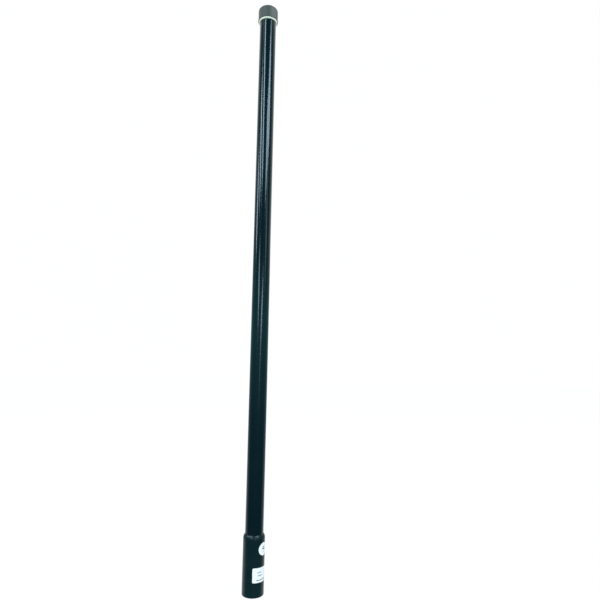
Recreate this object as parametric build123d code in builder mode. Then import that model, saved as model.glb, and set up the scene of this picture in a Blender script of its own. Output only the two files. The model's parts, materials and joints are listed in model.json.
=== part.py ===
from build123d import *
import math
import os

# Fibreglass omnidirectional antenna. Millimetres, +Z up the mast.
# The origin is the centre of the base sleeve's bottom face.

# ---- Driving dimensions -------------------------------------------------------------------

total_height = 860.0

# radome tube
tube_radius = 12.5
tube_wall = 2.0
tube_edge = 0.3
slip = 0.05                      # radial clearance of parts that slide together and are bonded

# base sleeve
sleeve_radius = 14.8
sleeve_height = 77.6
sleeve_bottom_round = 1.5
sleeve_mouth_chamfer = 0.2
shoulder_height = 4.7            # the sleeve tapers in a slight curve to a narrow rim round the tube
shoulder_top_radius = 12.9
shoulder_bulge = 0.3

# connector carrier: a cup bonded inside the sleeve, which also stops the radome tube
recess_depth = 24.0              # the open space below it takes a plug's coupling nut
web_thickness = 5.0
carrier_rim_wall = 1.2
carrier_rim_height = 7.0

# top cap and its seal
cap_radius = 15.1
cap_height = 21.0
cap_top_round = 3.8
cap_roof = 3.2
cap_lip_radius = 15.6
cap_lip_height = 1.4
cap_lip_round = 0.4
cap_spigot_wall = 1.6
cap_spigot_height = 6.0
seal_radius = 14.7
seal_thickness = 1.8
seal_round = 0.5

# stickers on the sleeve; angles are measured from the front (-Y) towards +X
sticker_thickness = 0.08
label_start_angle = 0.0
label_arc_length = 42.0
label_low = 19.25
label_high = 37.55
label_corner = 1.6
round_sticker_radius = 8.1
round_sticker_angle = 62.0
round_sticker_height = 59.8

# type N jack, seen from its mouth upwards
thread_radius = 15.875 / 2       # 5/8-24 UNEF
jack_mouth_height = 6.5          # how far the mouth stands above the sleeve's bottom face
jack_thread_length = 11.0
jack_thread_chamfer = 0.5
undercut_radius = 7.1
undercut_length = 2.0
flange_across_flats = 19.0
flange_thickness = 3.5
gasket_thickness = 1.0
gasket_radius = 9.5
rear_thread_radius = 7.9
rear_thread_length = 12.0
neck_radius = 3.4
neck_length = 6.0
jack_bore_radius = 4.2
jack_bore_end_wall = 2.0
jack_mouth_chamfer = 0.4
snug = 0.02                      # radial clearance of soldered and pressed parts
web_hole_radius = 8.05
nut_bore_radius = 7.95
nut_height = 3.0
nut_corner_radius = 10.6
washer_thickness = 1.0
washer_radius = 10.6
washer_teeth = 12
washer_notch_width = 1.3
washer_notch_depth = 1.5
insulator_face_depth = 6.0
contact_tip_depth = 4.6
contact_radius = 1.5
contact_slot_depth = 5.0
contact_socket_radius = 0.82
contact_socket_depth = 6.0
contact_slot_width = 0.3
contact_solder_radius = 0.5
contact_solder_depth = 4.0
contact_end_gap = 2.0            # from the contact's top to the end of the jack's bore

# feed line: semi-rigid coax
shield_radius = 1.79
dielectric_radius = 1.48
core_radius = 0.46
shield_inner_radius = 1.5
feed_height = 127.0
core_end_gap = 0.2               # under the core in the contact's solder bore
core_stick_out = 4.0             # from the shield's end to the first rod
core_insert = 3.0                # how far the core goes into the rod's end bore

# quarter-wave choke
choke_length = 80.0
choke_radius = 8.0
choke_wall = 0.5
choke_top = 1.0
bead_thickness = 4.0

# collinear radiator
rod_radius = 1.5
rod_length = 205.0
rod_socket_depth = 6.0
joint_gap = 30.0                 # distance between one rod's nominal end and the next rod's start
rod_start = feed_height + core_stick_out
former_radius = 3.2
coil_radius = 4.2
coil_wire_radius = 0.75
coil_overhang = 2.0
coil_turns = 6

# foam parts
foam_radius = 10.4
foam_thickness = 12.0
foam_chamfer = 0.6
foam_bore_clearance = 0.1
plug_length = 34.0
plug_gap = 6.0                   # from the top rod's end to the plug
top_spacer_drop = 24.0           # from the top rod's end down to the highest spacer

# ---- Derived levels -----------------------------------------------------------------------

tube_inner_radius = tube_radius - tube_wall
seat_radius = tube_radius + slip
web_top = recess_depth + web_thickness
tube_bottom = web_top + carrier_rim_height
cap_bottom = total_height - cap_height
cap_ceiling = total_height - cap_roof
tube_top = cap_ceiling - slip
seal_bottom = cap_bottom - seal_thickness
spigot_bottom = cap_ceiling - cap_spigot_height

flange_top = recess_depth - gasket_thickness
flange_bottom = flange_top - flange_thickness
thread_top = jack_mouth_height + jack_thread_length
rear_thread_top = flange_top + rear_thread_length
neck_top = rear_thread_top + neck_length
bore_top = rear_thread_top - jack_bore_end_wall
insulator_bottom = jack_mouth_height + insulator_face_depth
contact_bottom = jack_mouth_height + contact_tip_depth
contact_top = bore_top - contact_end_gap
solder_bore_bottom = contact_top - contact_solder_depth
core_bottom = solder_bore_bottom + core_end_gap
nut_bottom = web_top + washer_thickness

choke_bottom = feed_height - choke_length
rod_pitch = rod_length + joint_gap
rod_starts = [rod_start + i * rod_pitch for i in range(3)]
joint_starts = [start + rod_length for start in rod_starts[:2]]
radiator_top = rod_starts[2] + rod_length
plug_bottom = radiator_top + plug_gap

os.makedirs("parts", exist_ok=True)


def finish(piece, name):
    """Labels one finished piece and writes it as its own STEP file."""
    piece.label = name
    export_step(piece, f"parts/{name}.step")


# ---- Base sleeve, open at both ends --------------------------------------------------------

with BuildPart() as base_sleeve:
    with BuildSketch(Plane.XZ):
        with BuildLine():
            Polyline(
                (shoulder_top_radius, sleeve_height),
                (seat_radius, sleeve_height),
                (seat_radius, 0),
                (sleeve_radius, 0),
                (sleeve_radius, sleeve_height - shoulder_height),
            )
            SagittaArc(
                (sleeve_radius, sleeve_height - shoulder_height),
                (shoulder_top_radius, sleeve_height),
                -shoulder_bulge,
            )
        make_face()
    revolve(axis=Axis.Z)
    bottom_rims = base_sleeve.edges().filter_by(GeomType.CIRCLE).group_by(Axis.Z)[0].sort_by(SortBy.RADIUS)
    chamfer(bottom_rims[0], sleeve_mouth_chamfer)
    bottom_rims = base_sleeve.edges().filter_by(GeomType.CIRCLE).group_by(Axis.Z)[0].sort_by(SortBy.RADIUS)
    fillet(bottom_rims[-1], sleeve_bottom_round)
finish(base_sleeve.part, "base_sleeve")

# ---- Connector carrier: a web that holds the jack, with a rim that the tube stands on -------

with BuildPart() as connector_carrier:
    with BuildSketch(Plane.XY.offset(recess_depth)):
        Circle(tube_radius)
        Circle(web_hole_radius, mode=Mode.SUBTRACT)
    extrude(amount=tube_bottom - recess_depth)
    with BuildSketch(Plane.XY.offset(web_top)):
        Circle(tube_radius - carrier_rim_wall)
    extrude(amount=carrier_rim_height, mode=Mode.SUBTRACT)
finish(connector_carrier.part, "connector_carrier")

# ---- Radome tube --------------------------------------------------------------------------

with BuildPart() as radome_tube:
    with BuildSketch(Plane.XY.offset(tube_bottom)):
        Circle(tube_radius)
        Circle(tube_inner_radius, mode=Mode.SUBTRACT)
    extrude(amount=tube_top - tube_bottom)
    end_rims = radome_tube.edges().filter_by(GeomType.CIRCLE).filter_by(
        lambda rim: rim.radius > tube_inner_radius
    )
    chamfer(end_rims, tube_edge)
finish(radome_tube.part, "radome_tube")

# ---- Top cap: a cup with a low lip outside and a short spigot inside the tube -------------

spigot_radius = tube_inner_radius - 2 * slip

with BuildPart() as top_cap:
    with BuildSketch(Plane.XZ):
        with BuildLine():
            Polyline(
                (0, total_height),
                (cap_radius, total_height),
                (cap_radius, cap_bottom + cap_lip_height),
                (cap_lip_radius, cap_bottom + cap_lip_height),
                (cap_lip_radius, cap_bottom),
                (seat_radius, cap_bottom),
                (seat_radius, cap_ceiling),
                (spigot_radius, cap_ceiling),
                (spigot_radius, spigot_bottom),
                (spigot_radius - cap_spigot_wall, spigot_bottom),
                (spigot_radius - cap_spigot_wall, cap_ceiling),
                (0, cap_ceiling),
                close=True,
            )
        make_face()
    revolve(axis=Axis.Z)
    cap_rims = top_cap.edges().filter_by(GeomType.CIRCLE)
    fillet(cap_rims.group_by(Axis.Z)[-1], cap_top_round)
    lip_rims = top_cap.edges().filter_by(GeomType.CIRCLE).filter_by(
        lambda rim: rim.radius > (cap_radius + cap_lip_radius) / 2
    )
    fillet(lip_rims, cap_lip_round)
finish(top_cap.part, "top_cap")

with BuildPart() as cap_seal_ring:
    with BuildSketch(Plane.XY.offset(seal_bottom)):
        Circle(seal_radius)
        Circle(seat_radius, mode=Mode.SUBTRACT)
    extrude(amount=seal_thickness)
    seal_rims = cap_seal_ring.edges().filter_by(GeomType.CIRCLE).group_by(Axis.Z)[0].sort_by(SortBy.RADIUS)
    fillet(seal_rims[-1], seal_round)
finish(cap_seal_ring.part, "cap_seal_ring")

# ---- Stickers: thin skins wrapped round the sleeve ----------------------------------------

sticker_outer = sleeve_radius + sticker_thickness
sticker_cutter_reach = 2 * sleeve_radius
label_arc = math.degrees(label_arc_length / sleeve_radius)
corner_arc = math.degrees(label_corner / sleeve_radius)


def facing_plane(angle, height):
    """Upright plane through the axis that faces outwards at an angle from the front (-Y) towards +X."""
    turn = math.radians(angle)
    return Plane(
        origin=(0, 0, height),
        x_dir=(math.cos(turn), math.sin(turn), 0),
        z_dir=(math.sin(turn), -math.cos(turn), 0),
    )


with BuildPart() as rectangular_label:
    with BuildSketch(Plane.XZ.rotated((0, 0, label_start_angle - 90))):
        with Locations(((sleeve_radius + sticker_outer) / 2, (label_low + label_high) / 2)):
            Rectangle(sticker_thickness, label_high - label_low)
    revolve(axis=Axis.Z, revolution_arc=label_arc)
    label_end_angle = label_start_angle + label_arc
    for side, angle in ((-1, label_start_angle + corner_arc), (1, label_end_angle - corner_arc)):
        for up, height in ((-1, label_low + label_corner), (1, label_high - label_corner)):
            with BuildSketch(facing_plane(angle, height)):
                with Locations((side * label_corner, up * label_corner)):
                    Rectangle(2 * label_corner, 2 * label_corner)
                Circle(label_corner, mode=Mode.SUBTRACT)
            extrude(amount=sticker_cutter_reach, mode=Mode.SUBTRACT)
finish(rectangular_label.part, "rectangular_label")

with BuildPart() as round_sticker:
    with BuildSketch(Plane.XY.offset(round_sticker_height - 2 * round_sticker_radius)):
        Circle(sticker_outer)
        Circle(sleeve_radius, mode=Mode.SUBTRACT)
    extrude(amount=4 * round_sticker_radius)
    with BuildSketch(facing_plane(round_sticker_angle, round_sticker_height)):
        # seen square on, a disc wrapped round the sleeve is narrower than it is tall
        Ellipse(sleeve_radius * math.sin(round_sticker_radius / sleeve_radius), round_sticker_radius)
    extrude(amount=sticker_cutter_reach, mode=Mode.INTERSECT)
finish(round_sticker.part, "round_sticker")

# ---- Type N jack and what clamps it to the web --------------------------------------------

with BuildPart() as connector_body:
    with BuildSketch(Plane.XZ):
        with BuildLine():
            Polyline(
                (0, jack_mouth_height),
                (thread_radius, jack_mouth_height),
                (thread_radius, thread_top),
                (undercut_radius, thread_top),
                (undercut_radius, flange_bottom),
                (rear_thread_radius, flange_bottom),
                (rear_thread_radius, rear_thread_top),
                (neck_radius, rear_thread_top),
                (neck_radius, neck_top),
                (0, neck_top),
                close=True,
            )
        make_face()
    revolve(axis=Axis.Z)
    chamfer(connector_body.edges().filter_by(GeomType.CIRCLE).group_by(Axis.Z)[0], jack_thread_chamfer)
    with BuildSketch(Plane.XY.offset(flange_bottom)):
        RegularPolygon(flange_across_flats / 2, 6, major_radius=False)
    extrude(amount=flange_thickness)
    with BuildSketch(Plane.XY.offset(jack_mouth_height)):
        Circle(jack_bore_radius)
    extrude(amount=bore_top - jack_mouth_height, mode=Mode.SUBTRACT)
    with BuildSketch(Plane.XY.offset(bore_top)):
        Circle(shield_radius + slip)
    extrude(amount=neck_top - bore_top, mode=Mode.SUBTRACT)
    mouth_edges = connector_body.edges().filter_by(GeomType.CIRCLE).group_by(Axis.Z)[0].sort_by(SortBy.RADIUS)
    chamfer(mouth_edges[0], jack_mouth_chamfer)
finish(connector_body.part, "connector_body")

with BuildPart() as connector_insulator:
    with BuildSketch(Plane.XY.offset(insulator_bottom)):
        Circle(jack_bore_radius - snug)
        Circle(contact_radius + snug, mode=Mode.SUBTRACT)
    extrude(amount=bore_top - insulator_bottom)
finish(connector_insulator.part, "connector_insulator")

with BuildPart() as connector_centre_contact:
    with BuildSketch(Plane.XY.offset(contact_bottom)):
        Circle(contact_radius)
    extrude(amount=contact_top - contact_bottom)
    with BuildSketch(Plane.XY.offset(contact_bottom)):
        Circle(contact_socket_radius)
    extrude(amount=contact_socket_depth, mode=Mode.SUBTRACT)
    with BuildSketch(Plane.XY.offset(contact_bottom)):
        Rectangle(3 * contact_radius, contact_slot_width)
        Rectangle(contact_slot_width, 3 * contact_radius)
    extrude(amount=contact_slot_depth, mode=Mode.SUBTRACT)
    with BuildSketch(Plane.XY.offset(solder_bore_bottom)):
        Circle(contact_solder_radius)
    extrude(amount=contact_solder_depth, mode=Mode.SUBTRACT)
finish(connector_centre_contact.part, "connector_centre_contact")

with BuildPart() as connector_gasket:
    with BuildSketch(Plane.XY.offset(flange_top)):
        Circle(gasket_radius)
        Circle(nut_bore_radius, mode=Mode.SUBTRACT)
    extrude(amount=gasket_thickness)
finish(connector_gasket.part, "connector_gasket")

with BuildPart() as connector_lock_washer:
    with BuildSketch(Plane.XY.offset(web_top)):
        Circle(washer_radius)
        Circle(nut_bore_radius, mode=Mode.SUBTRACT)
        with PolarLocations(washer_radius, washer_teeth):
            Rectangle(2 * washer_notch_depth, washer_notch_width, mode=Mode.SUBTRACT)
    extrude(amount=washer_thickness)
finish(connector_lock_washer.part, "connector_lock_washer")

with BuildPart() as connector_nut:
    with BuildSketch(Plane.XY.offset(nut_bottom)):
        RegularPolygon(flange_across_flats / 2, 6, major_radius=False)
        Circle(nut_corner_radius, mode=Mode.INTERSECT)
        Circle(nut_bore_radius, mode=Mode.SUBTRACT)
    extrude(amount=nut_height)
finish(connector_nut.part, "connector_nut")

# ---- Feed line: shield, dielectric and core of one semi-rigid coax ------------------------

with BuildPart() as coax_shield:
    with BuildSketch(Plane.XY.offset(bore_top + snug)):
        Circle(shield_radius)
        Circle(shield_inner_radius, mode=Mode.SUBTRACT)
    extrude(amount=feed_height - bore_top - snug)
finish(coax_shield.part, "coax_shield")

with BuildPart() as coax_dielectric:
    with BuildSketch(Plane.XY.offset(bore_top + snug)):
        Circle(dielectric_radius)
        Circle(core_radius + snug, mode=Mode.SUBTRACT)
    extrude(amount=feed_height + core_stick_out / 2 - bore_top - snug)
finish(coax_dielectric.part, "coax_dielectric")

with BuildPart() as coax_core:
    with BuildSketch(Plane.XY.offset(core_bottom)):
        Circle(core_radius)
    extrude(amount=rod_start + core_insert - core_bottom)
finish(coax_core.part, "coax_core")

# ---- Quarter-wave choke: a cup soldered to the shield at its closed top --------------------

with BuildPart() as choke_sleeve:
    with BuildSketch(Plane.XY.offset(choke_bottom)):
        Circle(choke_radius)
        Circle(shield_radius + snug, mode=Mode.SUBTRACT)
    extrude(amount=choke_length)
    with BuildSketch(Plane.XY.offset(choke_bottom)):
        Circle(choke_radius - choke_wall)
    extrude(amount=choke_length - choke_top, mode=Mode.SUBTRACT)
finish(choke_sleeve.part, "choke_sleeve")

with BuildPart() as choke_bead:
    with BuildSketch(Plane.XY.offset(choke_bottom)):
        Circle(choke_radius - choke_wall - slip)
        Circle(shield_radius + slip, mode=Mode.SUBTRACT)
    extrude(amount=bead_thickness)
finish(choke_bead.part, "choke_bead")

# ---- Collinear radiator: three rods joined by two phasing coils on formers -----------------

rod_names = ["lower_radiator", "middle_radiator", "upper_radiator"]

for index, name in enumerate(rod_names):
    starts_in_former = index > 0
    ends_in_former = index < len(rod_names) - 1
    low = rod_starts[index] - (rod_socket_depth if starts_in_former else 0)
    high = rod_starts[index] + rod_length + (rod_socket_depth if ends_in_former else 0)
    with BuildPart() as radiator:
        with BuildSketch(Plane.XY.offset(low)):
            Circle(rod_radius)
        extrude(amount=high - low)
        if not starts_in_former:
            with BuildSketch(Plane.XY.offset(low)):
                Circle(contact_solder_radius)
            extrude(amount=core_insert + snug, mode=Mode.SUBTRACT)
    finish(radiator.part, name)

for index, joint_start in enumerate(joint_starts):
    with BuildPart() as coil_former:
        with BuildSketch(Plane.XY.offset(joint_start)):
            Circle(former_radius)
        extrude(amount=joint_gap)
        for socket_bottom in (joint_start, joint_start + joint_gap - rod_socket_depth - snug):
            with BuildSketch(Plane.XY.offset(socket_bottom)):
                Circle(rod_radius + snug)
            extrude(amount=rod_socket_depth + snug, mode=Mode.SUBTRACT)
    finish(coil_former.part, f"coil_former_{index + 1}")

    coil_bottom = joint_start - coil_overhang
    coil_height = joint_gap + 2 * coil_overhang
    with BuildPart() as phasing_coil:
        with BuildLine():
            winding = Helix(coil_height / coil_turns, coil_height, coil_radius, center=(0, 0, coil_bottom))
        with BuildSketch(Plane(origin=winding @ 0, z_dir=winding % 0)):
            Circle(coil_wire_radius)
        sweep(is_frenet=True)
        for lead_height in (coil_bottom, coil_bottom + coil_height):
            with BuildSketch(Plane.YZ.offset(rod_radius + snug)):
                with Locations((0, lead_height)):
                    Circle(coil_wire_radius)
            extrude(amount=coil_radius - rod_radius - snug)
            with Locations((coil_radius, 0, lead_height)):
                Sphere(coil_wire_radius)
    finish(phasing_coil.part, f"phasing_coil_{index + 1}")

# ---- Foam: discs that centre the choke and the rods, and a plug under the cap --------------

foam_bores = [
    (choke_bottom + choke_length / 2, choke_radius),
    (rod_starts[0] + rod_length / 2, rod_radius),
    (rod_starts[1] + rod_length / 2, rod_radius),
    (rod_starts[2] + rod_length / 2, rod_radius),
    (radiator_top - top_spacer_drop, rod_radius),
]

for index, (middle_height, held_radius) in enumerate(foam_bores):
    with BuildPart() as centring_spacer:
        with BuildSketch(Plane.XY.offset(middle_height - foam_thickness / 2)):
            Circle(foam_radius)
            Circle(held_radius + foam_bore_clearance, mode=Mode.SUBTRACT)
        extrude(amount=foam_thickness)
    finish(centring_spacer.part, f"centring_spacer_{index + 1}")

with BuildPart() as top_foam_plug:
    with BuildSketch(Plane.XY.offset(plug_bottom)):
        Circle(foam_radius)
    extrude(amount=plug_length)
    chamfer(top_foam_plug.edges().filter_by(GeomType.CIRCLE), foam_chamfer)
finish(top_foam_plug.part, "top_foam_plug")
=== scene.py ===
import json
import math

import bmesh
import bpy
from mathutils import Matrix, Vector


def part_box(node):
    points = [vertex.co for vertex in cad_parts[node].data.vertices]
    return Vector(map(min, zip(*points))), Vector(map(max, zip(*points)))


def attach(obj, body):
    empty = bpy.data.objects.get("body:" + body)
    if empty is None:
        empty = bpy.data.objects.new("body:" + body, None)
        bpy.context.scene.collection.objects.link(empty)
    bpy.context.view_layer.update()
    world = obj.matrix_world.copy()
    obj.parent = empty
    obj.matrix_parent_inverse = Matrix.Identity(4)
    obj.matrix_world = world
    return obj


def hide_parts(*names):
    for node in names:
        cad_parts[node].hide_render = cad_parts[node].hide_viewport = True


# Looks of a fibreglass omnidirectional antenna. Metres, +Z up the mast, -Y is the front.

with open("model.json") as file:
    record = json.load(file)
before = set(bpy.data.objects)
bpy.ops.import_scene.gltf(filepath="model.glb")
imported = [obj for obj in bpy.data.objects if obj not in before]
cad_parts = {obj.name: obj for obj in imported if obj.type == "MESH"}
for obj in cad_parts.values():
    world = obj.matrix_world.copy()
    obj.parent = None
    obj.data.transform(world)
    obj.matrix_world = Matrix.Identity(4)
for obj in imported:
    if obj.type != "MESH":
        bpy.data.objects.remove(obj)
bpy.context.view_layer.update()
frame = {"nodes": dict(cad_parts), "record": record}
nodes = frame["nodes"]

MM = 0.001
SEGMENTS = 192

# ---- Sizes read from the frame, and the small ones that the boxes don't show ----------------

tube_low, tube_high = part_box("radome_tube")
tube_radius = tube_high.x
tube_wall = 2.0 * MM
tube_edge = 0.3 * MM
glue_gap = 0.05 * MM
seat_radius = tube_radius + glue_gap        # bore of all that slips over the tube

sleeve_low, sleeve_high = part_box("base_sleeve")
sleeve_radius = sleeve_high.x
sleeve_bottom_round = 1.5 * MM
sleeve_mouth_chamfer = 0.2 * MM
shoulder_height = 4.7 * MM
shoulder_top_radius = 12.9 * MM
shoulder_bulge = 0.3 * MM
shoulder_rim_edge = 0.12 * MM

cap_low, cap_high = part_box("top_cap")
cap_lip_radius = cap_high.x
cap_radius = cap_lip_radius - 0.5 * MM
cap_lip_height = 1.4 * MM
cap_lip_round = 0.4 * MM
cap_top_round = 3.8 * MM
cap_roof = 3.2 * MM
cap_spigot_wall = 1.6 * MM
cap_spigot_height = 6.0 * MM
cap_gate_radius = 1.1 * MM
cap_gate_depth = 0.25 * MM
cap_mouth_chamfer = 0.3 * MM

seal_low, seal_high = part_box("cap_seal_ring")
seal_radius = seal_high.x
seal_round = 0.5 * MM
seal_edge = 0.2 * MM

label_low, label_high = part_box("rectangular_label")
badge_low, badge_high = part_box("round_sticker")
sticker_thickness = 0.08 * MM
label_arc = 42.0 * MM
label_corner = 1.6 * MM
badge_radius = (badge_high.z - badge_low.z) / 2
badge_angle = math.radians(62)

jack_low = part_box("connector_body")[0]
THREAD_PITCH = 25.4 * MM / 24
THREAD_DEPTH = 0.62 * MM
THREAD_CREST = 0.86              # share of a pitch that the groove takes at the major diameter
thread_radius = 15.875 / 2 * MM
jack_thread_length = 11.0 * MM
jack_thread_lead = 0.5 * MM
jack_undercut_radius = 7.1 * MM
jack_undercut_length = 2.0 * MM
jack_flange_thickness = 3.5 * MM
jack_across_flats = 19.0 * MM
jack_bore_radius = 4.2 * MM
jack_rear_radius = 7.9 * MM
jack_rear_length = 12.0 * MM
jack_neck_radius = 3.4 * MM
jack_neck_length = 6.0 * MM
jack_neck_bore = 1.84 * MM
jack_bore_end_wall = 2.0 * MM
jack_mouth_chamfer = 0.4 * MM


# ---- Mesh helpers ---------------------------------------------------------------------------

def piece_from(bm, name, materials, sharp_angle=35):
    """Makes an object from a bmesh, smooth but for edges sharper than an angle, riding on the root."""
    bmesh.ops.recalc_face_normals(bm, faces=bm.faces)
    mesh = bpy.data.meshes.new(name)
    bm.to_mesh(mesh)
    bm.free()
    for material in materials:
        mesh.materials.append(material)
    for polygon in mesh.polygons:
        polygon.use_smooth = True
    mesh.set_sharp_from_angle(angle=math.radians(sharp_angle))
    piece = bpy.data.objects.new(name, mesh)
    bpy.context.scene.collection.objects.link(piece)
    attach(piece, "root")
    return piece


def arc(centre_r, centre_z, radius, start, end, steps=8):
    """Points of an arc in the (r, z) half plane, between two angles in degrees."""
    points = []
    for i in range(steps + 1):
        angle = math.radians(start + (end - start) * i / steps)
        points.append((centre_r + radius * math.cos(angle), centre_z + radius * math.sin(angle)))
    return points


def bulged(start, end, bulge, steps=10):
    """Points of a shallow curve that stands off a straight line by at most a bulge."""
    (r0, z0), (r1, z1) = start, end
    length = math.hypot(r1 - r0, z1 - z0)
    points = []
    for i in range(steps + 1):
        t = i / steps
        off = 4 * bulge * t * (1 - t) / length
        points.append((r0 + (r1 - r0) * t + off * (z1 - z0), z0 + (z1 - z0) * t - off * (r1 - r0)))
    return points


def spin(bm, profile, closed=True, segments=SEGMENTS):
    """Adds a surface of revolution about Z.

    A profile point is (r, z), or a function of the angle that gives it.
    A point on the axis becomes the middle of a fan.
    """
    rings = []
    for point in profile:
        ring_at = point if callable(point) else (lambda angle, fixed=point: fixed)
        ring = []
        for i in range(segments):
            angle = 2 * math.pi * i / segments
            r, z = ring_at(angle)
            if r > 0:
                ring.append(bm.verts.new((r * math.cos(angle), r * math.sin(angle), z)))
            elif not ring:
                ring.append(bm.verts.new((0, 0, z)))
        rings.append(ring)
    pairs = list(zip(rings, rings[1:]))
    if closed:
        pairs.append((rings[-1], rings[0]))
    for low, high in pairs:
        for i in range(segments):
            corners = []
            for ring, k in ((low, i), (low, i + 1), (high, i + 1), (high, i)):
                corner = ring[k % len(ring)]
                if corner not in corners:
                    corners.append(corner)
            if len(corners) > 2:
                bm.faces.new(corners)


def subdivided(profile, longest):
    """The same profile with extra points, so that no step along it is longer than a length."""
    points = [profile[0]]
    for (r0, z0), (r1, z1) in zip(profile, profile[1:]):
        steps = max(1, math.ceil(math.hypot(r1 - r0, z1 - z0) / longest))
        for i in range(1, steps + 1):
            points.append((r0 + (r1 - r0) * i / steps, z0 + (z1 - z0) * i / steps))
    return points


# ---- Material helpers -----------------------------------------------------------------------

class Paint:
    """One procedural material: a Principled shader with node builders for what varies over it."""

    def __init__(self, name, **sockets):
        self.material = bpy.data.materials.new(name)
        self.material.use_nodes = True
        self.tree = self.material.node_tree
        self.shader = self.tree.nodes["Principled BSDF"]
        for socket, value in sockets.items():
            self.shader.inputs[socket.replace("_", " ")].default_value = value
        self.place = self.tree.nodes.new("ShaderNodeTexCoord").outputs["Object"]

    def add(self, kind, **values):
        node = self.tree.nodes.new(kind)
        for key, value in values.items():
            setattr(node, key, value)
        return node

    def link(self, source, target):
        self.tree.links.new(source, target)

    def stretched(self, scale):
        """Object coordinates scaled along each axis."""
        node = self.add("ShaderNodeMapping")
        node.inputs["Scale"].default_value = scale
        self.link(self.place, node.inputs["Vector"])
        return node.outputs["Vector"]

    def noise(self, scale, detail=3.0, roughness=0.5, stretch=(1, 1, 1)):
        node = self.add("ShaderNodeTexNoise")
        node.inputs["Scale"].default_value = scale
        node.inputs["Detail"].default_value = detail
        node.inputs["Roughness"].default_value = roughness
        self.link(self.stretched(stretch), node.inputs["Vector"])
        return node.outputs["Fac"]

    def cells(self, scale):
        """Distance to the nearest random point."""
        node = self.add("ShaderNodeTexVoronoi")
        node.inputs["Scale"].default_value = scale
        self.link(self.place, node.inputs["Vector"])
        return node.outputs["Distance"]

    def remap(self, value, low, high, to_low, to_high):
        node = self.add("ShaderNodeMapRange")
        for socket, number in zip(("From Min", "From Max", "To Min", "To Max"), (low, high, to_low, to_high)):
            node.inputs[socket].default_value = number
        self.link(value, node.inputs["Value"])
        return node.outputs["Result"]

    def steps(self, value, stops):
        """A value from -1 to 1 turned into another by (position, level) stops, straight between them."""
        node = self.add("ShaderNodeValToRGB")
        ramp = node.color_ramp
        while len(ramp.elements) < len(stops):
            ramp.elements.new(1.0)
        for element, (position, level) in zip(ramp.elements, stops):
            element.position = (position + 1) / 2
            element.color = (level, level, level, 1.0)
        self.link(self.remap(value, -1.0, 1.0, 0.0, 1.0), node.inputs["Fac"])
        return node.outputs["Color"]

    def maths(self, operation, a, b=None):
        node = self.add("ShaderNodeMath", operation=operation)
        for socket, value in zip(node.inputs, (a, b)):
            if isinstance(value, (int, float)):
                socket.default_value = value
            elif value is not None:
                self.link(value, socket)
        return node.outputs["Value"]

    def mix(self, factor, a, b):
        """Mix of two colours, each a socket or an (r, g, b) tuple."""
        node = self.add("ShaderNodeMix", data_type="RGBA")
        self.link(factor, node.inputs["Factor"])
        for socket, colour in ((node.inputs[6], a), (node.inputs[7], b)):
            if isinstance(colour, tuple):
                socket.default_value = (*colour, 1.0)
            else:
                self.link(colour, socket)
        return node.outputs[2]

    def height(self):
        """Height above the ground, as a socket."""
        node = self.add("ShaderNodeSeparateXYZ")
        self.link(self.place, node.inputs["Vector"])
        return node.outputs["Z"]

    def colour(self, socket):
        self.link(socket, self.shader.inputs["Base Color"])

    def roughness(self, socket):
        self.link(socket, self.shader.inputs["Roughness"])

    def bump(self, *layers):
        """Bump from (height socket, distance in metres, strength) layers."""
        normal = None
        for height, distance, strength in layers:
            node = self.add("ShaderNodeBump")
            node.inputs["Strength"].default_value = strength
            node.inputs["Distance"].default_value = distance
            self.link(height, node.inputs["Height"])
            if normal is not None:
                self.link(normal, node.inputs["Normal"])
            normal = node.outputs["Normal"]
        self.link(normal, self.shader.inputs["Normal"])


# ---- Materials ------------------------------------------------------------------------------

def radome_gloss():
    """Glossy black gel coat over drawn fibreglass, with a faint lengthwise ripple."""
    p = Paint("radome_gloss", Specular_IOR_Level=0.5)
    cloud = p.noise(14, detail=4)
    p.colour(p.mix(cloud, (0.0016, 0.0062, 0.0082), (0.0028, 0.0098, 0.0122)))
    drawn = p.noise(300, detail=1, stretch=(1, 1, 0.01))
    p.roughness(p.maths("ADD", p.remap(cloud, 0.3, 0.7, 0.10, 0.15), p.remap(drawn, 0.35, 0.65, 0.0, 0.03)))
    ripple = p.noise(45, detail=0, stretch=(1, 1, 0.25))
    p.bump((ripple, 0.4 * MM, 0.16))
    return p.material


def sleeve_black():
    """Satin black coat on turned metal, rubbed a little paler along both rims."""
    p = Paint("sleeve_black", Specular_IOR_Level=0.5)
    cloud = p.noise(45, detail=4)
    tone = p.mix(cloud, (0.0008, 0.0080, 0.0095), (0.0018, 0.0120, 0.0132))
    rim = p.maths(
        "ADD",
        p.remap(p.height(), sleeve_high.z - 0.9 * MM, sleeve_high.z - 0.1 * MM, 0.0, 1.0),
        p.remap(p.height(), sleeve_low.z + 1.0 * MM, sleeve_low.z, 0.0, 1.0),
    )
    rubbed = p.maths("MULTIPLY", rim, p.remap(p.noise(420, detail=5), 0.50, 0.68, 0.0, 0.55))
    p.colour(p.mix(rubbed, tone, (0.12, 0.14, 0.14)))
    grain = p.noise(2600, detail=2)
    p.roughness(p.maths("ADD", p.remap(cloud, 0.3, 0.7, 0.26, 0.33), p.remap(grain, 0.3, 0.7, -0.03, 0.05)))
    p.bump((p.noise(160, detail=2), 0.1 * MM, 0.10), (grain, 0.03 * MM, 0.22))
    return p.material


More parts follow.
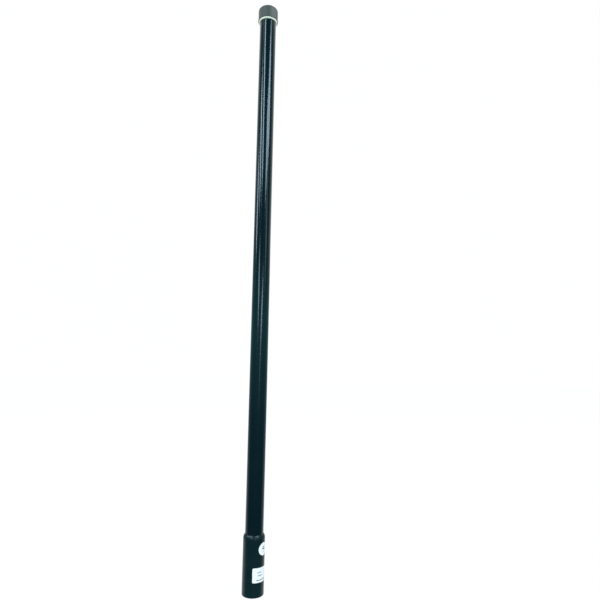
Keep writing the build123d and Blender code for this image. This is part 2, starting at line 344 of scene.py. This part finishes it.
def cap_grey():
    """Moulded grey plastic with a fine spark-eroded grain."""
    p = Paint("cap_grey", Specular_IOR_Level=0.45)
    cloud = p.noise(60, detail=4)
    tone = p.mix(cloud, (0.051, 0.057, 0.047), (0.066, 0.072, 0.060))
    scuff = p.remap(p.noise(260, detail=6, stretch=(1, 1, 3)), 0.60, 0.74, 0.0, 0.35)
    p.colour(p.mix(scuff, tone, (0.12, 0.145, 0.135)))
    grain = p.noise(2200, detail=3, roughness=0.6)
    p.roughness(p.remap(grain, 0.3, 0.7, 0.42, 0.56))
    p.bump((grain, 0.05 * MM, 0.30))
    return p.material


def seal_pale():
    """Pale silicone rubber, slightly mottled."""
    p = Paint("seal_pale", Specular_IOR_Level=0.4)
    p.shader.inputs["Subsurface Weight"].default_value = 0.15
    p.shader.inputs["Subsurface Radius"].default_value = (0.8 * MM, 0.9 * MM, 0.7 * MM)
    mottle = p.noise(300, detail=4)
    p.colour(p.mix(mottle, (0.62, 0.72, 0.60), (0.76, 0.84, 0.73)))
    p.roughness(p.remap(mottle, 0.3, 0.7, 0.38, 0.55))
    p.bump((p.noise(1500, detail=3), 0.04 * MM, 0.25))
    return p.material


def sticker_white():
    """White vinyl with a faint fibre and a soft sheen."""
    p = Paint("sticker_white", Specular_IOR_Level=0.5)
    fibre = p.noise(500, detail=4, stretch=(1, 1, 4))
    p.colour(p.mix(fibre, (0.84, 0.88, 0.89), (0.93, 0.95, 0.96)))
    p.roughness(p.remap(fibre, 0.3, 0.7, 0.30, 0.42))
    p.bump((p.noise(900, detail=3), 0.02 * MM, 0.15))
    return p.material


def sticker_ink():
    """Grey thermal print, patchy as such print is."""
    p = Paint("sticker_ink", Specular_IOR_Level=0.4)
    patch = p.noise(2500, detail=4)
    p.colour(p.mix(patch, (0.060, 0.065, 0.070), (0.21, 0.22, 0.23)))
    p.roughness(p.remap(patch, 0.3, 0.7, 0.35, 0.5))
    p.bump((patch, 0.01 * MM, 0.2))
    return p.material


def metal(name, light, dark, rough):
    """Turned or drawn metal: tone and roughness vary with a fine directional grain."""
    p = Paint(name, Metallic=1.0)
    cloud = p.noise(180, detail=4)
    grain = p.noise(1400, detail=3, stretch=(1, 1, 12))
    p.colour(p.mix(cloud, dark, light))
    worn = p.remap(cloud, 0.3, 0.7, rough, rough + 0.08)
    p.roughness(p.maths("ADD", worn, p.remap(grain, 0.3, 0.7, -0.03, 0.05)))
    p.bump((grain, 0.02 * MM, 0.2))
    return p.material


def plastic(name, light, dark, rough, scale):
    """Plain technical plastic or rubber: a cloudy tone, and a fine grain in the roughness and the bump."""
    p = Paint(name, Specular_IOR_Level=0.4)
    cloud = p.noise(scale / 6, detail=4)
    grain = p.noise(scale, detail=3)
    p.colour(p.mix(cloud, dark, light))
    p.roughness(p.remap(grain, 0.3, 0.7, rough - 0.06, rough + 0.08))
    p.bump((grain, 0.03 * MM, 0.4))
    return p.material


def foam_white():
    """Closed-cell foam: cells in the colour and the bump."""
    p = Paint("foam_white", Specular_IOR_Level=0.3)
    cells = p.cells(1300)
    p.colour(p.mix(p.remap(cells, 0.0, 0.6, 0.0, 1.0), (0.88, 0.88, 0.86), (0.70, 0.70, 0.67)))
    p.roughness(p.remap(cells, 0.0, 0.6, 0.75, 0.92))
    p.bump((cells, 0.15 * MM, 0.5))
    return p.material


def glass_fibre_rod():
    """Bare fibreglass rod: straw colour with lengthwise fibres."""
    p = Paint("bare_fibreglass", Specular_IOR_Level=0.5)
    fibres = p.noise(2500, detail=3, stretch=(1, 1, 0.02))
    p.colour(p.mix(fibres, (0.48, 0.44, 0.24), (0.72, 0.68, 0.46)))
    p.roughness(p.remap(fibres, 0.3, 0.7, 0.3, 0.45))
    p.bump((fibres, 0.04 * MM, 0.3))
    return p.material


finish_of = {
    "black_metal": sleeve_black(),
    "black_fibreglass": radome_gloss(),
    "grey_plastic": cap_grey(),
    "pale_rubber": seal_pale(),
    "sticker_vinyl": sticker_white(),
    "sticker_ink": sticker_ink(),
    "bare_aluminium": metal("bare_aluminium", (0.66, 0.67, 0.68), (0.50, 0.51, 0.52), 0.28),
    "nickel_plate": metal("nickel_plate", (0.66, 0.62, 0.55), (0.50, 0.47, 0.42), 0.14),
    "gold_plate": metal("gold_plate", (0.92, 0.66, 0.28), (0.80, 0.55, 0.20), 0.14),
    "copper": metal("copper", (0.82, 0.42, 0.26), (0.66, 0.30, 0.17), 0.22),
    "brass": metal("brass", (0.78, 0.56, 0.26), (0.60, 0.42, 0.17), 0.24),
    "ptfe": plastic("ptfe", (0.86, 0.86, 0.84), (0.76, 0.76, 0.73), 0.42, 900),
    "black_rubber": plastic("black_rubber", (0.030, 0.030, 0.030), (0.014, 0.014, 0.014), 0.62, 1500),
    "bare_fibreglass": glass_fibre_rod(),
    "white_foam": foam_white(),
}
slot_of = {row["node"]: row["material_slot"] for row in frame["record"]["subparts"]}


def stands_for(node):
    """Hides the CAD node whose place a rebuilt piece takes."""
    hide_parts(node)


# ---- Radome tube ----------------------------------------------------------------------------

def make_radome():
    inner = tube_radius - tube_wall
    e = tube_edge
    outside = subdivided([(tube_radius, tube_low.z + e), (tube_radius, tube_high.z - e)], 20 * MM)
    profile = [(inner, tube_low.z)]
    profile += arc(tube_radius - e, tube_low.z + e, e, -90, 0, 4)[:-1]
    profile += outside
    profile += arc(tube_radius - e, tube_high.z - e, e, 0, 90, 4)[1:]
    profile += [(inner, tube_high.z)]
    bm = bmesh.new()
    spin(bm, profile)
    radome = piece_from(bm, "radome", [finish_of["black_fibreglass"]])
    stands_for("radome_tube")


# ---- Top cap and its seal -------------------------------------------------------------------

def make_cap():
    top = cap_high.z
    ceiling = top - cap_roof
    spigot = tube_radius - tube_wall - 2 * glue_gap
    round_z = top - cap_top_round
    lip_top = cap_low.z + cap_lip_height
    profile = [(0, top - cap_gate_depth), (cap_gate_radius * 0.8, top - cap_gate_depth)]
    profile += [(cap_gate_radius, top - cap_gate_depth * 0.35), (cap_gate_radius * 1.25, top)]
    profile += subdivided([(cap_gate_radius * 1.5, top), (cap_radius - cap_top_round, top)], 3 * MM)
    profile += arc(cap_radius - cap_top_round, round_z, cap_top_round, 90, 0, 16)[1:]
    profile += [(cap_radius, lip_top + cap_lip_round)]
    profile += arc(cap_radius + cap_lip_round, lip_top + cap_lip_round, cap_lip_round, 180, 235, 4)[1:]
    profile += arc(cap_lip_radius - cap_lip_round, lip_top - cap_lip_round, cap_lip_round, 55, 0, 4)
    profile += arc(cap_lip_radius - cap_lip_round, cap_low.z + cap_lip_round, cap_lip_round, 0, -90, 5)
    profile += [(seat_radius + cap_mouth_chamfer, cap_low.z), (seat_radius, cap_low.z + cap_mouth_chamfer)]
    profile += [(seat_radius, ceiling)]
    profile += [(spigot, ceiling), (spigot, ceiling - cap_spigot_height)]
    profile += [(spigot - cap_spigot_wall, ceiling - cap_spigot_height), (spigot - cap_spigot_wall, ceiling)]
    profile += [(0, ceiling)]
    bm = bmesh.new()
    spin(bm, profile, closed=False)
    cap = piece_from(bm, "end_cap", [finish_of["grey_plastic"]])
    stands_for("top_cap")


def make_seal():
    """Seal ring: a full round on its free side, and a small one where the cap presses on it."""
    low, high = seal_low.z, seal_high.z
    profile = [(seat_radius, low + seal_edge), (seat_radius + seal_edge, low)]
    profile += arc(seal_radius - seal_round, low + seal_round, seal_round, -90, 0, 8)
    profile += arc(seal_radius - seal_edge, high - seal_edge, seal_edge, 0, 90, 4)
    profile += [(seat_radius, high)]
    bm = bmesh.new()
    spin(bm, profile)
    seal = piece_from(bm, "seal_ring", [finish_of["pale_rubber"]])
    stands_for("cap_seal_ring")


# ---- Base sleeve ----------------------------------------------------------------------------

def make_sleeve():
    r = sleeve_radius
    b = sleeve_bottom_round
    m = sleeve_mouth_chamfer
    e = shoulder_rim_edge
    top = sleeve_high.z
    shoulder = (r, top - shoulder_height)
    profile = [(seat_radius, sleeve_low.z + m), (seat_radius + m, sleeve_low.z)]
    profile += arc(r - b, sleeve_low.z + b, b, -90, 0, 12)
    profile += subdivided([(r, sleeve_low.z + b + 0.5 * MM), shoulder], 6 * MM)
    profile += bulged(shoulder, (shoulder_top_radius, top - e), shoulder_bulge)[1:]
    profile += [(shoulder_top_radius - e, top), (seat_radius + e, top), (seat_radius, top - e)]
    profile += [(seat_radius, sleeve_low.z + 30 * MM)]
    bm = bmesh.new()
    spin(bm, profile)
    sleeve = piece_from(bm, "sleeve", [finish_of["black_metal"]])
    stands_for("base_sleeve")


# ---- Stickers -------------------------------------------------------------------------------

def wrapped_sticker(name, node, middle_angle, middle_height, half_height_at, columns, rows, blocks):
    """Thin skin on the sleeve, built flat from a grid that has a line along each edge of the print."""
    bm = bmesh.new()
    grid = []
    for u in columns:
        limit = half_height_at(u)
        grid.append([bm.verts.new((u, max(-limit, min(limit, v)), 0)) for v in rows])
    for i, (left, right) in enumerate(zip(grid, grid[1:])):
        u = (columns[i] + columns[i + 1]) / 2
        for j in range(len(rows) - 1):
            face = bm.faces.new((left[j], right[j], right[j + 1], left[j + 1]))
            face.material_index = 1 if inside(u, (rows[j] + rows[j + 1]) / 2, blocks) else 0
    bmesh.ops.remove_doubles(bm, verts=bm.verts, dist=1e-6)
    bmesh.ops.dissolve_degenerate(bm, edges=bm.edges, dist=1e-7)
    bmesh.ops.recalc_face_normals(bm, faces=bm.faces)
    lower = bmesh.ops.extrude_face_region(bm, geom=list(bm.faces))["geom"]
    for corner in lower:
        if isinstance(corner, bmesh.types.BMVert):
            corner.co.z = sticker_thickness
    for corner in bm.verts:
        u, v, lift = corner.co
        angle = middle_angle + u / sleeve_radius
        radius = sleeve_radius + lift
        corner.co = (radius * math.sin(angle), -radius * math.cos(angle), middle_height + v)
    piece = piece_from(bm, name, [finish_of["sticker_vinyl"], finish_of["sticker_ink"]])
    stands_for(node)


def breakpoints(low, high, step, edges):
    """Sorted grid lines between two limits, with one on each edge of the print."""
    count = max(1, math.ceil((high - low) / step))
    lines = {round(low + (high - low) * i / count, 7) for i in range(count + 1)}
    lines |= {round(edge, 7) for edge in edges if low < edge < high}
    return sorted(lines)


def inside(u, v, blocks):
    return any(u0 < u < u1 and v0 < v < v1 for u0, u1, v0, v1 in blocks)


def dashes(left, baseline, lengths, gap, height):
    """A row of short dashes that stands for a line of small print."""
    blocks = []
    for length in lengths:
        blocks.append((left, left + length, baseline, baseline + height))
        left += length + gap
    return blocks


def make_label():
    half_width = label_arc / 2
    half_height = (label_high.z - label_low.z) / 2
    start = -half_width
    small = 0.55 * MM
    blocks = dashes(start + 6.6 * MM, 3.6 * MM, [v * MM for v in (1.5, 0.9, 2.1, 0.8)], 0.30 * MM, small)
    blocks += dashes(start + 6.6 * MM, 2.5 * MM, [v * MM for v in (0.9, 1.8, 1.3, 1.1)], 0.30 * MM, small)
    blocks += dashes(start + 7.6 * MM, -1.0 * MM, [v * MM for v in (1.9, 1.2, 2.4)], 0.25 * MM, 1.05 * MM)
    stripes = (0.5, 0.25, 0.25, 0.7, 0.25, 0.5, 0.25, 0.7, 0.5, 0.25, 0.5, 0.7, 0.25, 0.5)
    stripe_left = start + 24.5 * MM
    for stripe in stripes:
        blocks.append((stripe_left, stripe_left + stripe * MM, -2.4 * MM, 5.9 * MM))
        stripe_left += (stripe + 0.38) * MM
    foot = (2.6, 1.8, 3.1, 1.2, 2.4, 0.9, 2.8, 1.6, 2.2, 3.0, 1.4, 2.0)
    blocks += dashes(start + 5.6 * MM, -6.7 * MM, [v * MM for v in foot], 0.25 * MM, 1.15 * MM)

    def half_height_at(u):
        into_corner = abs(u) - (half_width - label_corner)
        if into_corner <= 0:
            return half_height
        rest = math.sqrt(max(0.0, label_corner ** 2 - into_corner ** 2))
        return half_height - label_corner + rest

    corner_lines = []
    for i in range(1, 8):
        reach = label_corner * math.sin(math.radians(90 * i / 8))
        corner_lines += [half_width - label_corner + reach, label_corner - half_width - reach]
    corner_lines += [half_width - label_corner, label_corner - half_width]
    sides = [edge for block in blocks for edge in block[:2]]
    columns = breakpoints(-half_width, half_width, 0.9 * MM, sides + corner_lines)
    rows = breakpoints(-half_height, half_height, 2.4 * MM, [edge for block in blocks for edge in block[2:]])
    wrapped_sticker(
        "label", "rectangular_label", half_width / sleeve_radius, (label_low.z + label_high.z) / 2,
        half_height_at, columns, rows, blocks,
    )


def make_badge():
    r = badge_radius
    blocks = dashes(-2.4 * MM, 2.2 * MM, [v * MM for v in (1.9, 1.1, 1.7)], 0.25 * MM, 1.1 * MM)
    blocks += dashes(-2.1 * MM, -0.4 * MM, [v * MM for v in (1.5, 2.2, 1.4)], 0.2 * MM, 1.6 * MM)
    blocks += dashes(-1.2 * MM, -3.4 * MM, [v * MM for v in (0.9, 1.3, 0.7)], 0.5 * MM, 0.5 * MM)
    columns = sorted(
        {round(-r * math.cos(math.pi * i / 56), 7) for i in range(57)}
        | {round(edge, 7) for block in blocks for edge in block[:2]}
    )
    rows = breakpoints(-r, r, 1.2 * MM, [edge for block in blocks for edge in block[2:]])
    wrapped_sticker(
        "badge", "round_sticker", badge_angle, (badge_low.z + badge_high.z) / 2,
        lambda u: math.sqrt(max(0.0, r * r - u * u)), columns, rows, blocks,
    )


# ---- Type N jack ----------------------------------------------------------------------------

JACK_SEGMENTS = 96               # a multiple of six, so that the hex flange's corners fall on vertices


def helical_thread(bm, radius, low, high, lead):
    """Outer surface of a real thread between two heights, ending in a plain ring at each."""
    per_turn = 12
    turns = math.ceil((high - low) / THREAD_PITCH) + 1
    rows = []
    for j in range(-per_turn - 1, turns * per_turn + 1):
        phase = (j / per_turn) % 1.0
        groove = 1 - min(1.0, abs(2 * phase - 1) / THREAD_CREST)
        row = []
        for i in range(JACK_SEGMENTS + 1):
            z = low + THREAD_PITCH * (j / per_turn + i / JACK_SEGMENTS)
            z = min(max(z, low), high)
            fade = min(1.0, min(z - low, high - z) / (0.6 * THREAD_PITCH))
            r = radius - THREAD_DEPTH * groove * fade - max(0.0, lead - (z - low))
            angle = 2 * math.pi * i / JACK_SEGMENTS
            row.append(bm.verts.new((r * math.cos(angle), r * math.sin(angle), z)))
        rows.append(row)
    for low_row, high_row in zip(rows, rows[1:]):
        for i in range(JACK_SEGMENTS):
            bm.faces.new((low_row[i], low_row[i + 1], high_row[i + 1], high_row[i]))


def hexagon(across_flats, z, turned_radius, level):
    """Ring of a hex bar whose corners are turned down at 30 degrees, at or beside the flat end at z."""
    def ring(angle):
        within = (angle % math.radians(60)) - math.radians(30)
        r = across_flats / 2 / math.cos(within)
        if level == 0:
            return min(r, turned_radius), z
        return r, z + level * max(0.0, r - turned_radius) * math.tan(math.radians(30))
    return ring


def make_jack():
    """Body of the jack: threaded barrel, undercut, hex flange, rear thread and neck, bored through."""
    mouth = jack_low.z
    thread_top = mouth + jack_thread_length
    flange_bottom = thread_top + jack_undercut_length
    flange_top = flange_bottom + jack_flange_thickness
    rear_top = flange_top + jack_rear_length
    neck_top = rear_top + jack_neck_length
    bore_top = rear_top - jack_bore_end_wall
    across = jack_across_flats
    turned = across / 2 * 1.03
    bm = bmesh.new()
    helical_thread(bm, thread_radius, mouth, thread_top, jack_thread_lead)
    spin(bm, [
        (thread_radius, thread_top),
        (jack_undercut_radius, thread_top),
        (jack_undercut_radius, flange_bottom),
        hexagon(across, flange_bottom, turned, 0),
        hexagon(across, flange_bottom, turned, 1),
        hexagon(across, flange_top, turned, -1),
        hexagon(across, flange_top, turned, 0),
        (jack_rear_radius, flange_top),
    ], closed=False, segments=JACK_SEGMENTS)
    helical_thread(bm, jack_rear_radius, flange_top, rear_top, 0)
    spin(bm, [
        (jack_rear_radius, rear_top),
        (jack_neck_radius, rear_top),
        (jack_neck_radius, neck_top),
        (jack_neck_bore, neck_top),
        (jack_neck_bore, bore_top),
        (jack_bore_radius, bore_top),
        (jack_bore_radius, mouth + jack_mouth_chamfer),
        (jack_bore_radius + jack_mouth_chamfer, mouth),
        (thread_radius - jack_thread_lead, mouth),
    ], closed=False, segments=JACK_SEGMENTS)
    bmesh.ops.remove_doubles(bm, verts=bm.verts, dist=1e-6)
    jack = piece_from(bm, "jack", [finish_of["nickel_plate"]], 28)
    stands_for("connector_body")


make_radome()
make_cap()
make_seal()
make_sleeve()
make_label()
make_badge()
make_jack()

for name, node in nodes.items():
    node.data.materials.clear()
    node.data.materials.append(finish_of[slot_of[name]])

# ---- Studio ---------------------------------------------------------------------------------

FLOOR_RADIUS = 14.0
BACKDROP_RADIUS = 15.0
SURROUND_RADIUS = 8.0
STRIP_DISTANCE = 2.0
COOL = (0.62, 0.86, 1.0)
SKY = (0.05, 0.45, 0.75)
SKY_STRENGTH = 0.22

# What the gloss mirrors: a dark tone, and the paler haze as (sine of the elevation, radiance) stops.
SURROUND_DARK = (0.011, 0.099, 0.165)
LEFT_HAZE = (
    (-0.42, 1.6), (-0.30, 1.4), (-0.20, 0.95), (-0.05, 0.40), (0.10, 0.35), (0.40, 0.50), (0.58, 1.20),
)
RIGHT_HAZE = (
    (-0.42, 1.3), (-0.24, 0.85), (-0.06, 0.40), (0.12, 0.15), (0.24, 0.40), (0.32, 1.2), (0.60, 1.2),
)
FRONT_HAZE = (
    (-0.42, 0.35), (-0.37, 0.0), (-0.16, 0.0), (-0.05, 0.06), (0.03, 0.20), (0.15, 0.36), (0.30, 0.0),
)

# Where the haze fades in behind the mast, as azimuths in degrees from the front towards +X.
BEHIND_LEFT = (-78, -145)
BEHIND_RIGHT = (85, 140)

CAMERA_PLACE = (0.0533, -0.7179, 0.2943)
CAMERA_TURN = math.radians(-0.309)
CAMERA_TILT = math.radians(8.237)
CAMERA_ROLL = math.radians(0.90)
CAMERA_SENSOR = 36
CAMERA_LENS = 30


def set_piece(bm, name, material):
    """Object of the set, from a bmesh."""
    mesh = bpy.data.meshes.new(name)
    bm.to_mesh(mesh)
    bm.free()
    mesh.materials.append(material)
    piece = bpy.data.objects.new(name, mesh)
    bpy.context.scene.collection.objects.link(piece)
    return piece


def sphere_round_all(name, radius, material):
    """Sphere seen from inside that diffuse light, glass and shadows pass by."""
    bm = bmesh.new()
    bmesh.ops.create_uvsphere(bm, u_segments=64, v_segments=32, radius=radius)
    bmesh.ops.reverse_faces(bm, faces=bm.faces)
    sphere = set_piece(bm, name, material)
    sphere.visible_diffuse = False
    sphere.visible_transmission = False
    sphere.visible_shadow = False
    return sphere


def glow(name):
    """Paint that only emits."""
    p = Paint(name, Roughness=1.0, Specular_IOR_Level=0.0)
    p.shader.inputs["Base Color"].default_value = (0, 0, 0, 1)
    p.shader.inputs["Emission Strength"].default_value = 1.0
    return p


def floor_material():
    """White sheet that glows, a little more far away, so that it meets the backdrop unseen."""
    p = Paint("floor_white", Roughness=0.9, Specular_IOR_Level=0.0)
    p.colour(p.mix(p.noise(6), (0.105, 0.100, 0.098), (0.095, 0.092, 0.090)))
    distance = p.add("ShaderNodeVectorMath", operation="LENGTH")
    p.link(p.place, distance.inputs[0])
    p.shader.inputs["Emission Color"].default_value = (1, 1, 1, 1)
    p.link(p.remap(distance.outputs["Value"], 0.3, 2.0, 0.955, 0.99), p.shader.inputs["Emission Strength"])
    return p.material


def make_floor():
    bm = bmesh.new()
    bmesh.ops.create_circle(bm, cap_ends=True, radius=FLOOR_RADIUS, segments=96)
    disc = set_piece(bm, "floor", floor_material())
    disc.visible_glossy = False


def make_backdrop():
    """White surround that only the camera sees, so that the gloss mirrors the lamps and not the room."""
    p = glow("backdrop_white")
    p.link(p.mix(p.noise(0.2), (1.0, 1.0, 1.0), (0.995, 1.0, 1.0)), p.shader.inputs["Emission Color"])
    backdrop = sphere_round_all("backdrop", BACKDROP_RADIUS, p.material)
    backdrop.visible_glossy = False


def make_surround():
    """Surround that only reflections see: dark in front, paler behind and low down, as a white room shows."""
    p = glow("surround")
    axes = p.add("ShaderNodeSeparateXYZ")
    p.link(p.place, axes.inputs["Vector"])
    azimuth = p.maths("ARCTAN2", axes.outputs["X"], p.maths("MULTIPLY", axes.outputs["Y"], -1.0))
    rise = p.maths("DIVIDE", axes.outputs["Z"], SURROUND_RADIUS)
    behind_left = p.remap(azimuth, *map(math.radians, BEHIND_LEFT), 0.0, 1.0)
    behind_right = p.remap(azimuth, *map(math.radians, BEHIND_RIGHT), 0.0, 1.0)
    left = p.maths("MULTIPLY", behind_left, p.steps(rise, LEFT_HAZE))
    right = p.maths("MULTIPLY", behind_right, p.steps(rise, RIGHT_HAZE))
    haze = p.maths("MULTIPLY", p.maths("ADD", left, right), p.remap(p.noise(0.5), 0.3, 0.7, 0.9, 1.1))
    front = p.mix(p.steps(rise, FRONT_HAZE), SURROUND_DARK, (0.25, 1.0, 1.0))
    p.link(p.mix(haze, front, (0.90, 1.0, 0.97)), p.shader.inputs["Emission Color"])
    surround = sphere_round_all("surround", SURROUND_RADIUS, p.material)
    surround.visible_camera = False


def area_lamp(name, width, tall, radiance, colour):
    """Rectangular lamp that the camera doesn't see."""
    lamp = bpy.data.lights.new(name, "AREA")
    lamp.shape = "RECTANGLE"
    lamp.size = width
    lamp.size_y = tall
    lamp.energy = radiance * math.pi * width * tall
    lamp.color = colour
    piece = bpy.data.objects.new(name, lamp)
    piece.visible_camera = False
    bpy.context.scene.collection.objects.link(piece)
    return piece


def panel(name, place, width, tall, radiance, colour, target=(0, 0, 0.1), in_gloss=True):
    """Lamp that faces a point."""
    piece = area_lamp(name, width, tall, radiance, colour)
    piece.location = place
    piece.rotation_euler = (Vector(target) - Vector(place)).to_track_quat("-Z", "Y").to_euler()
    piece.visible_glossy = in_gloss


def strip(name, foot, head, width, radiance):
    """Cool lamp between two points round the mast, each (degrees from the front towards +X, height)."""
    ends = []
    for azimuth, height in (foot, head):
        turn = math.radians(azimuth)
        ends.append(Vector((STRIP_DISTANCE * math.sin(turn), -STRIP_DISTANCE * math.cos(turn), height)))
    low, high = ends
    middle = (low + high) / 2
    along = (high - low).normalized()
    outward = Vector((middle.x, middle.y, 0))
    outward = (outward - along * outward.dot(along)).normalized()
    axes = Matrix((along.cross(outward), along, outward)).transposed()
    piece = area_lamp(name, width, (high - low).length, radiance, COOL)
    piece.matrix_world = Matrix.Translation(middle) @ axes.to_4x4()


def make_lamps():
    strip("left_strip", (-16, 1.36), (-34, 2.45), 0.36, 11.0)
    strip("outer_left_strip", (-43, 1.28), (-62, 1.95), 0.30, 12.0)
    strip("far_left_strip", (-80, 0.98), (-76, 1.50), 0.46, 8.5)
    strip("right_strip", (60, 1.55), (46, 2.24), 0.38, 13.0)
    strip("right_strip_tip", (52, 2.24), (52, 2.45), 0.30, 1.4)
    strip("inner_right_strip", (40, 1.34), (34, 1.90), 0.66, 9.5)
    strip("dim_right_strip", (62, 0.85), (54, 1.28), 0.50, 1.8)
    strip("low_left_strip", (-18, 0.60), (-28, 0.93), 0.24, 8.0)
    strip("low_right_strip", (18, 0.50), (32, 0.74), 0.20, 8.0)
    strip("lowest_strip", (20, 0.20), (14, 0.50), 0.16, 1.8)
    panel("ceiling_left", (-1.0, 0.02, 2.1), 2.2, 0.8, 0.8, (0.95, 1.0, 0.92))
    panel("ceiling_right", (1.0, -0.15, 2.1), 1.4, 0.7, 3.3, (0.92, 1.0, 0.95))
    panel("label_fill", (0.25, -0.9, 0.35), 0.5, 0.5, 2.9, (1.0, 0.86, 0.74), (0, 0, 0.05), in_gloss=False)


def make_world():
    world = bpy.data.worlds.new("studio")
    world.use_nodes = True
    background = world.node_tree.nodes["Background"]
    background.inputs["Color"].default_value = (*SKY, 1.0)
    background.inputs["Strength"].default_value = SKY_STRENGTH
    bpy.context.scene.world = world


def make_camera():
    """Camera low in front, tilted up along the mast and rolled so that the mast's top leans right."""
    camera_data = bpy.data.cameras.new("camera")
    camera_data.sensor_width = CAMERA_SENSOR
    camera_data.lens = CAMERA_LENS
    camera_data.clip_start = 0.01
    camera_data.clip_end = 60
    camera = bpy.data.objects.new("camera", camera_data)
    camera.matrix_world = (
        Matrix.Translation(CAMERA_PLACE)
        @ Matrix.Rotation(CAMERA_TURN, 4, "Z")
        @ Matrix.Rotation(math.radians(90) + CAMERA_TILT, 4, "X")
        @ Matrix.Rotation(CAMERA_ROLL, 4, "Z")
    )
    bpy.context.scene.collection.objects.link(camera)
    bpy.context.scene.camera = camera


make_floor()
make_backdrop()
make_surround()
make_lamps()
make_world()
make_camera()
bpy.context.scene.view_settings.view_transform = "Standard"
